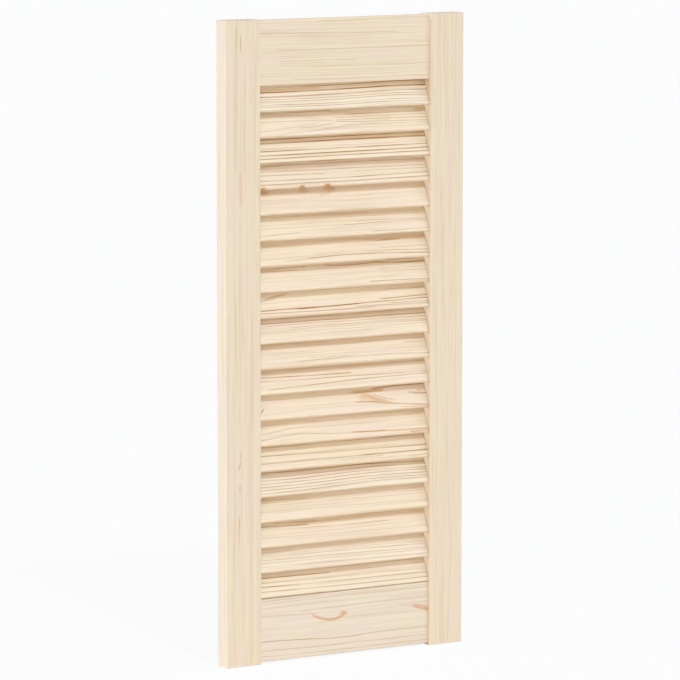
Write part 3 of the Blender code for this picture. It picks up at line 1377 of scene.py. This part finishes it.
BOTTOM_RAIL_PINE = PineFinish(
    4, pith=(-90.0, 70.0), ring_width=4.5, contrast=0.12, wander=1.6, wood=BOTTOM_WOOD, blush=0.8,
    streaky=0.8, bleach=0.0, ripe=0.006, painted_highlight=None,
    knots=(
        Knot(-2.0, 9.8, 5.4, 2.6, 1.0, 0.45), Knot(107.0, 3.6, 13.0, 3.4, 4.0, 0.14),
    ),
    streaks=(
        resin_and_warm_shade((-46.0, 16.4), (4.0, 10.6), -8.6, 2.3, 0.66),
        Streak((-38.0, 13.6), (2.0, 9.0), -7.2, 0.9, 0.26),
        Streak((-36.0, 10.6), (2.0, 8.6), -4.4, 0.8, 0.40),
        Streak((-7.0, 11.6), (4.0, 10.6), 0.6, 1.2, 0.40),
        resin_and_warm_shade((80.0, 11.0), (130.0, -2.6), 0.6, 3.8, 0.62),
        Streak((82.0, 9.4), (RIGHT_END, -3.6), 0.3, 0.9, 0.45),
        resin_and_warm_shade((66.0, 11.6), (96.0, 9.6), 0.0, 1.2, 0.30),
        Streak((LEFT_END, -11.8), (-20.0, -16.2), 1.2, 0.7, 0.62),
        Streak((-45.0, -13.9), (30.0, -15.2), -2.0, 0.7, 0.50),
        Streak((0.0, -16.8), (130.0, -16.6), 2.4, 0.7, 0.42), full_line(-21.5, -23.0, 0.32, -1.6),
        full_line(-28.0, -29.0, 0.32, -1.2), resin_and_warm_shade((LEFT_END, 16.8), (-30.0, 13.4), 0.0, 0.8, 0.35),
        Streak((-60.0, 17.2), (RIGHT_END, 18.2), 0.6, 0.7, 0.32), full_line(28.6, 29.4, 0.26),
        full_line(31.8, 32.4, 0.24), full_line(24.0, 23.4, 0.20),
    ),
)
SLAT_PINES = (
    PineFinish(
        11, pith=(-147.2, 8.0), ring_width=2.3, contrast=0.40, wander=0.6, bend=Bend(65.0, 2.2, 40.0),
        bleach=0.64,
        streaks=(
            # The line at about 11 mm across is partly late wood and partly painted shade under the nose
            # of the slat above
            full_line(11.0, 10.6, 0.70), full_line(5.4, 5.4, 0.95, width=0.9),
            full_line(0.2, 0.2, 0.80, width=0.7), full_line(-2.8, -3.4, 0.60, width=0.6),
            full_line(-5.0, -5.8, 0.50, width=0.6), full_line(-8.8, -10.4, 0.62, width=0.6),
            full_line(-11.3, -13.0, 0.65, width=0.6),
            resin_and_warm_shade((LEFT_END, 8.2), (-20.0, 8.0), 0.0, 2.6, 0.34),
        ),
    ),
    PineFinish(
        12, pith=(0.5, 28.0), drift=(0.0, 0.022), ring_width=2.3, contrast=0.30, wander=0.6, bleach=0.15,
        streaks=(
            # This line near the top at the left is partly late wood and partly painted shade under the
            # nose of the slat above
            Streak((LEFT_END, 11.6), (-8.0, 11.8), -0.6, 0.9, 0.45),
            Streak((LEFT_END, 7.8), (-20.0, 7.2), 0.0, 0.8, 0.26),
            Streak((LEFT_END, 1.4), (-8.0, -0.2), 1.0, 0.7, 0.42),
            Streak((-60.0, -6.9), (-8.0, -2.8), -0.8, 0.6, 0.36),
            Streak((-34.0, -4.9), (-8.0, -1.8), -0.4, 0.6, 0.32),
            Streak((-52.0, 3.4), (-12.0, 1.0), 0.6, 0.6, 0.34),
            Streak((0.0, 6.3), (RIGHT_END, 6.5), 0.0, 0.7, 0.60),
            Streak((-14.0, 2.8), (RIGHT_END, 3.0), 0.6, 0.6, 0.50),
            Streak((-14.0, 0.2), (RIGHT_END, -0.8), 0.0, 0.6, 0.50),
            Streak((-14.0, -1.2), (RIGHT_END, -4.2), -0.8, 0.6, 0.54),
            Streak((-8.0, -5.8), (RIGHT_END, -6.6), 0.0, 0.6, 0.46),
            resin_and_warm_shade((86.0, 9.2), (RIGHT_END, 9.0), 0.0, 1.6, 0.50),
        ),
    ),
    PineFinish(
        13, pith=(-138.2, 8.0), ring_width=4.5, contrast=0.14, wander=0.4, bleach=0.30,
        streaks=(
            # The line at about 11 mm across is partly late wood and partly painted shade under the nose
            # of the slat above
            full_line(11.0, 11.2, 0.80, width=1.1), full_line(6.7, 7.1, 0.88, width=1.1), painted_warm_shade(0.16),
            full_line(0.9, 0.6, 0.30), full_line(-2.4, -2.2, 0.74, width=0.9),
            full_line(-6.9, -6.3, 0.80, -0.5, 1.0), full_line(-11.4, -10.8, 0.68, 0.3, 0.9),
            full_line(-15.4, -15.4, 0.70),
        ),
    ),
    PineFinish(
        14, pith=(-136.6, 8.0), ring_width=4.9, contrast=0.20, wander=0.7, bleach=0.28,
        knots=(
            Knot(-101.0, -15.4, 5.0, 2.4, 0.5, 0.7), Knot(-53.0, -15.2, 3.6, 2.2, 0.5, 0.9),
            Knot(-22.0, -15.2, 5.0, 2.2, 0.5, 0.9),
        ),
        streaks=(
            full_line(9.3, 9.0, 0.55, 1.4, 0.9), full_line(4.2, 2.6, 0.48),
            Streak((LEFT_END, -0.2), (-18.0, -1.3), 0.0, 0.8, 0.56),
            Streak((8.0, -0.4), (RIGHT_END, -0.9), 0.0, 0.7, 0.40), full_line(-6.0, -5.5, 0.74, -1.2),
            full_line(-10.4, -10.0, 0.56, -1.0),
        ),
    ),
    PineFinish(
        15, pith=(2.0, 60.0), ring_width=4.0, contrast=0.16, wander=1.4, blush=0.45, bleach=0.10,
        knots=(
            Knot(-94.0, 9.8, 7.6, 2.6, 1.0, 0.46), Knot(-46.0, 9.4, 6.2, 2.5, 1.2, 0.32),
            Knot(-13.0, 9.4, 8.0, 2.6, 1.2, 0.34),
        ),
        streaks=(
            Streak((-50.0, 11.8), (-38.0, 12.0), 0.3, 0.9, 0.65),
            resin_and_warm_shade((-48.0, 6.4), (-38.0, 9.6), 0.3, 1.2, 0.45),
            Streak((-20.0, 11.8), (-4.0, 11.4), 0.3, 0.9, 0.65),
            resin_and_warm_shade((-32.0, 2.4), (-8.0, 6.4), 0.4, 2.0, 0.35), painted_warm_shade(0.16),
        ),
    ),
    PineFinish(
        16, pith=(-120.0, 30.0), ring_width=3.2, contrast=0.26, blush=0.2, bleach=0.12,
        streaks=(
            Streak((-5.0, -3.8), (RIGHT_END, -3.4), 1.6, 0.8, 0.46),
            Streak((12.0, 0.4), (RIGHT_END, -1.4), 0.5, 0.7, 0.40),
            Streak((30.0, -12.4), (RIGHT_END, -12.6), 0.0, 0.7, 0.46),
            Streak((-112.0, -11.4), (-48.0, -8.0), 0.0, 0.8, 0.34),
            resin_and_warm_shade((-90.0, 8.6), (40.0, 9.6), 0.8, 1.4, 0.28),
        ),
    ),
    PineFinish(
        17, pith=(-8.0, 55.0), ring_width=4.0, contrast=0.20, wander=1.2, bleach=0.0, ripe=0.022,
        knots=(
            Knot(57.0, 6.8, 9.0, 1.7, 0.8, 0.40),
        ),
        streaks=(
            Streak((-78.0, -11.6), (-32.0, -9.0), 0.0, 0.8, 0.30),
            Streak((-50.0, -9.9), (RIGHT_END, -12.9), 3.0, 0.8, 0.66),
            Streak((-40.0, -5.4), (RIGHT_END, -8.4), 1.6, 0.7, 0.46),
            Streak((36.0, 5.6), (78.0, 6.2), 0.8, 0.9, 0.55),
            Streak((40.0, -1.6), (RIGHT_END, -3.6), 0.4, 0.6, 0.32),
            resin_and_warm_shade((-100.0, 8.4), (30.0, 9.4), 0.8, 1.6, 0.30),
            resin_and_warm_shade((24.0, 8.6), (RIGHT_END, 8.2), 0.0, 2.6, 0.45),
        ),
    ),
    PineFinish(
        18, pith=(10.0, 60.0), ring_width=4.0, contrast=0.18, wander=1.2, blush=0.5, bleach=0.20,
        streaks=(
            painted_warm_shade(0.10), Streak((LEFT_END, 9.4), (-38.0, 10.6), 0.0, 0.9, 0.58),
            Streak((LEFT_END, 8.0), (-48.0, 6.9), 0.0, 0.8, 0.45),
            Streak((-24.0, 10.9), (48.0, 10.4), -1.6, 0.9, 0.65),
            Streak((36.0, 10.7), (112.0, 8.2), -1.5, 1.0, 0.85),
            Streak((52.0, 12.0), (98.0, 11.6), 0.0, 1.1, 0.80),
            Streak((40.0, 2.2), (RIGHT_END, 2.0), 0.0, 0.7, 0.40),
            Streak((42.0, -0.6), (RIGHT_END, -2.0), 0.0, 0.7, 0.40),
            Streak((26.0, -11.4), (RIGHT_END, -12.8), 0.0, 0.8, 0.60),
            Streak((52.0, -13.6), (RIGHT_END, -14.2), 0.0, 0.7, 0.44),
        ),
    ),
    PineFinish(
        19, pith=(8.0, 55.0), ring_width=4.4, contrast=0.18, wander=0.9, bleach=0.05,
        streaks=(
            Streak((LEFT_END, -8.3), (64.0, -5.5), 0.2, 1.0, 0.80),
            Streak((-62.0, -7.8), (26.0, -5.9), 0.1, 1.1, 1.00),
            Streak((42.0, -6.0), (RIGHT_END, -4.9), 0.3, 0.8, 0.75),
            Streak((42.0, -2.9), (RIGHT_END, -1.4), 0.1, 0.8, 0.70),
            Streak((LEFT_END, -10.9), (44.0, -11.6), 0.0, 0.8, 0.55),
            Streak((8.0, -9.4), (RIGHT_END, -11.2), 0.0, 0.7, 0.55),
            Streak((52.0, -8.3), (RIGHT_END, -8.9), 0.0, 0.7, 0.48),
            Streak((-103.0, 2.4), (-64.0, 9.6), 0.8, 1.1, 0.42),
            Streak((-112.0, 1.0), (-76.0, 4.8), 0.8, 0.9, 0.36),
            resin_and_warm_shade((-96.0, 5.4), (-58.0, 11.0), 0.8, 1.4, 0.36),
            Streak((48.0, 7.6), (RIGHT_END, 7.0), 0.0, 0.8, 0.55),
        ),
    ),
    PineFinish(
        20, pith=(-100.0, 12.0), ring_width=2.4, contrast=0.20, faintest=0.2, blush=0.5, bleach=0.18,
        streaks=(
            # The line at about 11 mm across is partly late wood and partly painted shade under the nose
            # of the slat above
            full_line(11.0, 11.6, 0.55), full_line(6.6, 6.2, 0.60), full_line(3.8, 3.0, 0.42),
            full_line(0.7, -0.3, 0.42), full_line(-1.5, -2.2, 0.30), full_line(-4.4, -5.2, 0.24),
            painted_warm_shade(0.10),
        ),
    ),
    PineFinish(
        21, pith=(-110.0, 40.0), ring_width=3.4, contrast=0.22, blush=0.4, bleach=0.12,
        streaks=(
            Streak((-64.0, -9.8), (RIGHT_END, -12.2), 2.2, 0.8, 0.40),
            Streak((-46.0, -5.7), (22.0, -7.8), 0.0, 0.8, 0.34),
            Streak((4.0, -5.2), (64.0, -6.2), 0.0, 0.7, 0.30),
            Streak((72.0, 3.1), (RIGHT_END, 3.0), 0.0, 0.7, 0.40), full_line(-0.6, -1.0, 0.20),
            painted_warm_shade(0.20),
        ),
    ),
    PineFinish(
        22, pith=(-128.0, 20.0), ring_width=4.8, contrast=0.20, blush=0.5, bleach=0.18,
        streaks=(
            Streak((LEFT_END, 3.8), (16.0, 1.2), 0.0, 0.9, 0.72), full_line(-0.7, -2.9, 0.56, -0.3),
            Streak((-98.0, -10.7), (RIGHT_END, -5.4), 1.4, 0.8, 0.54), full_line(10.6, 9.6, 0.40),
            painted_warm_shade(0.14),
        ),
    ),
    PineFinish(
        23, pith=(4.0, 60.0), ring_width=4.5, contrast=0.12, wander=0.8, blush=0.6, bleach=0.05,
        streaks=(
            resin_and_warm_shade((20.0, 6.6), (60.0, -7.6), -0.4, 4.4, 0.52),
            resin_and_warm_shade((16.0, 1.6), (52.0, -4.0), 0.4, 4.0, 0.40),
            resin_and_warm_shade((30.0, -2.0), (64.0, -7.8), 0.0, 2.4, 0.55),
            Streak((26.0, 4.2), (54.0, -6.8), 0.4, 1.1, 0.40),
            Streak((34.0, 5.6), (68.0, -5.6), -0.6, 0.8, 0.40),
            resin_and_warm_shade((8.0, 7.4), (58.0, 7.4), 0.6, 2.4, 0.75),
            Streak((13.0, 6.9), (40.0, 7.1), 0.2, 1.1, 0.50),
            Streak((34.0, 9.6), (112.0, 11.0), 1.0, 1.1, 0.70),
            Streak((10.0, -3.1), (48.0, -5.8), 0.3, 0.9, 0.65),
            Streak((30.0, -4.0), (RIGHT_END, -14.2), -1.0, 0.9, 0.65),
            Streak((80.0, 2.3), (93.0, 2.6), 0.0, 1.0, 0.60),
            Streak((83.0, 2.4), (112.0, 1.4), -1.3, 0.8, 0.80),
            Streak((88.0, 3.0), (112.0, 6.2), 0.8, 0.7, 0.65),
            resin_and_warm_shade((88.0, 3.0), (112.0, 3.6), 0.0, 1.6, 0.35),
            resin_and_warm_shade((66.0, -12.9), (RIGHT_END, -14.8), 0.0, 0.9, 0.60),
            Streak((-108.0, -12.6), (-95.0, -0.4), 0.0, 1.4, 0.55),
            resin_and_warm_shade((-108.0, -11.0), (-94.0, 0.8), 0.0, 1.8, 0.50),
        ),
    ),
    PineFinish(
        24, pith=(-6.0, 50.0), ring_width=4.2, contrast=0.18, wander=0.9, bend=Bend(-58.0, 4.0, 24.0),
        bleach=0.10,
        streaks=(
            full_line(-11.2, -12.2, 0.44, 2.5), Streak((LEFT_END, -6.0), (64.0, 1.6), 1.5, 0.8, 0.34),
            resin_and_warm_shade((10.0, -8.5), (60.0, -10.1), 0.2, 1.4, 0.60),
            Streak((4.0, -8.4), (56.0, -9.9), 0.0, 1.0, 0.95),
            resin_and_warm_shade((50.0, -10.4), (RIGHT_END, -12.6), 0.0, 1.3, 0.50),
            Streak((76.0, -13.6), (RIGHT_END, -13.4), 0.0, 0.9, 0.66),
            Streak((72.0, -10.4), (RIGHT_END, -11.0), 0.0, 0.7, 0.50),
        ),
    ),
    PineFinish(
        25, pith=(-143.2, 8.0), ring_width=7.6, contrast=0.16, wander=0.7, blush=0.35, bleach=0.0,
        ripe=0.012,
        streaks=(
            full_line(1.5, -1.3, 0.60, -0.3, 1.0), full_line(-7.2, -7.0, 0.48, -0.4, 1.0),
            Streak((16.0, -7.1), (RIGHT_END, -7.2), 0.0, 1.1, 0.74),
            Streak((-14.0, -10.2), (54.0, -9.6), 0.0, 0.7, 0.34),
            Streak((76.0, -12.5), (RIGHT_END, -12.2), 0.0, 0.7, 0.44),
            # These three lines at about 10.6 mm across are partly late wood and partly painted shade
            # under the nose of the slat above
            Streak((LEFT_END, 10.6), (-30.0, 10.4), 0.0, 1.0, 0.45),
            Streak((-40.0, 10.6), (60.0, 10.8), 0.0, 0.9, 0.30),
            Streak((46.0, 10.9), (RIGHT_END, 10.6), 0.0, 1.0, 0.48),
        ),
    ),
    PineFinish(
        26, pith=(-140.0, 10.0), ring_width=1.9, contrast=0.26, wander=0.6, bend=Bend(35.0, 2.2, 38.0),
        bleach=0.42,
        streaks=(
            # The first line, from 11.2 mm across at the left, is partly late wood and partly painted
            # shade under the nose of the slat above
            full_line(11.2, 7.6, 0.72, 0.0, 1.0), full_line(5.6, 5.0, 0.50),
            full_line(2.3, 1.1, 0.60, width=0.7), full_line(-1.6, -1.5, 0.60, width=0.7),
            full_line(-5.1, -4.9, 0.60, width=0.7), full_line(-8.6, -8.0, 0.55, width=0.7),
            full_line(-12.0, -10.6, 0.55, width=0.7),
        ),
    ),
    PineFinish(
        27, pith=(6.0, 60.0), ring_width=4.2, contrast=0.20, wander=1.2, bleach=0.05,
        streaks=(
            Streak((-106.0, 10.7), (-38.0, 6.5), 0.3, 1.0, 0.60),
            Streak((LEFT_END, 6.4), (-58.0, 5.4), 0.0, 0.8, 0.40),
            Streak((LEFT_END, 8.3), (-66.0, 8.0), 0.0, 0.7, 0.35), full_line(3.2, 0.5, 0.30),
            full_line(5.8, 4.0, 0.28), full_line(-4.0, -6.6, 0.20),
        ),
    ),
    PineFinish(
        28, pith=(-100.0, 50.0), ring_width=3.6, contrast=0.22, bleach=0.05,
        streaks=(
            Streak((LEFT_END, 8.2), (-36.0, 5.7), 0.0, 1.0, 0.66),
            Streak((-88.0, 10.5), (-26.0, 8.9), 0.0, 0.9, 0.55),
            Streak((LEFT_END, 4.6), (64.0, 1.6), -0.6, 0.7, 0.40), full_line(-5.5, -8.0, 0.24),
            resin_and_warm_shade((-60.0, 8.6), (RIGHT_END, 8.4), 0.0, 1.8, 0.30),
        ),
    ),
    PineFinish(
        29, pith=(-130.0, 14.0), ring_width=2.4, contrast=0.24, blush=0.5, bleach=0.50,
        streaks=(
            full_line(4.2, 2.5, 0.30), full_line(2.6, -0.8, 0.44), full_line(-1.4, -5.0, 0.38),
            full_line(-4.5, -7.5, 0.30), full_line(-9.3, -12.0, 0.44),
            Streak((LEFT_END, 7.0), (-56.0, 6.6), 0.0, 0.8, 0.44),
        ),
    ),
    PineFinish(
        30, pith=(-142.6, 8.0), ring_width=5.0, contrast=0.18, wander=0.5, bleach=0.20,
        streaks=(
            Streak((LEFT_END, 6.7), (-8.0, 5.8), 0.0, 0.9, 0.72),
            # The line at about 11.3 mm across is partly late wood and partly painted shade under the nose
            # of the slat above
            Streak((-30.0, 6.0), (RIGHT_END, 5.6), 0.0, 0.8, 0.30), full_line(11.4, 11.2, 0.34),
            full_line(1.5, -0.9, 0.36, -0.2), Streak((LEFT_END, 1.6), (-40.0, 0.6), 0.0, 0.8, 0.55),
            full_line(-3.3, -4.9, 0.48, -0.2), Streak((LEFT_END, -3.1), (-46.0, -3.9), 0.0, 0.9, 0.75),
            full_line(-8.8, -10.5, 0.46, -0.2), Streak((LEFT_END, -8.6), (-52.0, -9.2), 0.0, 0.9, 0.72),
            full_line(-15.2, -15.5, 0.25),
        ),
    ),
)


@dataclass
class Door:
    """The whole door: two stiles, two rails, the louvre slats and the dowels."""

    stile_pines: tuple[PineFinish, PineFinish] = (LEFT_STILE_PINE, RIGHT_STILE_PINE)
    rail_pines: tuple[PineFinish, PineFinish] = (TOP_RAIL_PINE, BOTTOM_RAIL_PINE)
    slat_pines: tuple[PineFinish, ...] = SLAT_PINES
    dowel_beech: BeechFinish = BeechFinish()

    def __post_init__(self) -> None:
        """Lists the boards from the frame's nodes."""
        self.slats = tuple(
            Slat(f"slat_{number:02d}", finish, number)
            for number, finish in enumerate(self.slat_pines, start=1)
        )
        self.stiles = tuple(
            Stile(f"{side.name.lower()}_stile", finish, side, self.slats)
            for side, finish in zip(Side, self.stile_pines)
        )
        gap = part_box("top_rail")[0].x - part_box("left_stile")[1].x
        self.rails = tuple(
            Rail(f"{level.value}_rail", finish, level, gap)
            for level, finish in zip(Level, self.rail_pines)
        )

    def make(self) -> None:
        """Builds and dresses every piece of the door."""
        for pattern in (GrainPattern, KnotPattern, StreakPattern, RingPattern):
            pattern()
        for board in (*self.stiles, *self.rails, *self.slats):
            board.make()
        self.dress_dowels()

    def dress_dowels(self) -> None:
        """Gives the frame's dowels their beech."""
        beech = self.dowel_beech.material("beech_dowel_grain")
        for name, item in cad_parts.items():
            if name.startswith("dowel_"):
                item.data.materials.clear()
                item.data.materials.append(beech)
                log.info("%s: dressed in beech", name)


@dataclass(frozen=True)
class Lamp:
    """A far, soft lamp: where it stands, how bright a facing white is, how wide it looks and its tint."""

    name: str
    towards: Triple
    level: float
    spread: float
    tint: Triple

    def make(self) -> None:
        """Hangs the lamp."""
        light = bpy.data.lights.new(self.name, "SUN")
        light.energy = self.level * math.pi
        light.angle = math.radians(self.spread)
        light.color = self.tint
        item = bpy.data.objects.new(self.name, light)
        item.rotation_mode = "QUATERNION"
        item.rotation_quaternion = Vector(self.towards).to_track_quat("Z", "Y")
        bpy.context.scene.collection.objects.link(item)
        log.info("%s: level %.2f", self.name, self.level)


@dataclass
class Studio:
    """A pale floor, soft light from all round and the camera.

    The camera is turned by the yaw and looks down by the tilt. The middle of the door's
    front lies a little to the right of the picture's middle and above it.
    """

    floor_half: float = 60.0
    paper: PaperFinish = PaperFinish()
    backdrop: float = 0.98
    top_sky: Easing = Easing(0.30, 0.95, high=0.728)
    back_sky: Easing = Easing(0.0, 0.90, high=0.20)
    sky_tint: Colour = (1.035, 1.0, 1.0, 1.0)
    lamps: tuple[Lamp, ...] = (
        Lamp("key_lamp", (-0.05, -0.695, 0.72), 0.242, 3.5, (0.70, 1.0, 1.30)),
        Lamp("left_lamp", (-0.70, -0.70, 0.35), 0.187, 40.0, (1.34, 1.0, 0.80)),
        Lamp("right_lamp", (0.80, -0.55, 0.25), 0.325, 40.0, (1.01, 1.0, 0.98)),
        Lamp("side_lamp", (-1.0, 0.15, 0.15), 0.450, 20.0, (0.80, 1.0, 1.26)),
    )
    yaw: float = math.radians(30.07)
    tilt: float = math.radians(7.59)
    distance: float = 4.869
    aside: float = 0.00677
    above: float = 0.00130
    lens: float = 240.5

    def make(self) -> None:
        """Sets up the floor, the light and the camera."""
        bpy.context.scene.view_settings.view_transform = "Standard"
        self.add_floor()
        self.add_world()
        for lamp in self.lamps:
            lamp.make()
        self.add_camera()

    def add_floor(self) -> None:
        """Lays a pale floor that looks white and keeps the door's shadow."""
        shape = bmesh.new()
        bmesh.ops.create_grid(shape, x_segments=1, y_segments=1, size=self.floor_half)
        floor = add_object("floor", mesh_from("floor", shape))
        floor.data.materials.append(self.paper.material("floor_paper"))

    def add_world(self) -> None:
        """Surrounds the door with soft light that the camera sees as white."""
        world = bpy.data.worlds.new("studio")
        world.use_nodes = True
        bpy.context.scene.world = world
        nodes = world.node_tree.nodes
        sheet = NodeSheet(world.node_tree)
        compass = sheet.split(sheet.add("ShaderNodeTexCoord").outputs["Generated"])
        above = sheet.ease(compass["Z"], self.top_sky)
        behind = sheet.ease(compass["Y"], self.back_sky)
        soft = nodes["Background"]
        sheet.feed_all(soft, {"Color": self.sky_tint, "Strength": sheet.math("ADD", above, behind)})
        white = sheet.add("ShaderNodeBackground", {"Color": grey(self.backdrop), "Strength": 1.0})
        choice = sheet.join("ShaderNodeMixShader", sheet.shown(), soft.outputs[0], white.outputs[0])
        sheet.feed(nodes["World Output"].inputs["Surface"], choice.outputs[0])

    def add_camera(self) -> None:
        """Sets the camera at the photograph's viewing angle."""
        sine, cosine = math.sin(self.yaw), math.cos(self.yaw)
        level = Vector((sine, cosine, 0.0))
        right = Vector((cosine, -sine, 0.0))
        up = level * math.sin(self.tilt) + ALONG_Z * math.cos(self.tilt)
        forward = level * math.cos(self.tilt) - ALONG_Z * math.sin(self.tilt)
        target = Vector((0.0, cad_low.y, (cad_low.z + cad_high.z) / 2))
        stand = target - right * self.aside - up * self.above - forward * self.distance
        data = bpy.data.cameras.new("camera")
        data.lens = self.lens
        camera = bpy.data.objects.new("camera", data)
        turn = Matrix((right, up, -forward)).transposed().to_4x4()
        camera.matrix_world = Matrix.Translation(stand) @ turn
        bpy.context.scene.collection.objects.link(camera)
        bpy.context.scene.camera = camera


def main() -> None:
    """Builds the door and its studio."""
    logging.basicConfig(level=logging.INFO, format="%(name)s %(message)s")
    Door().make()
    Studio().make()


if __name__ == "__main__":
    main()
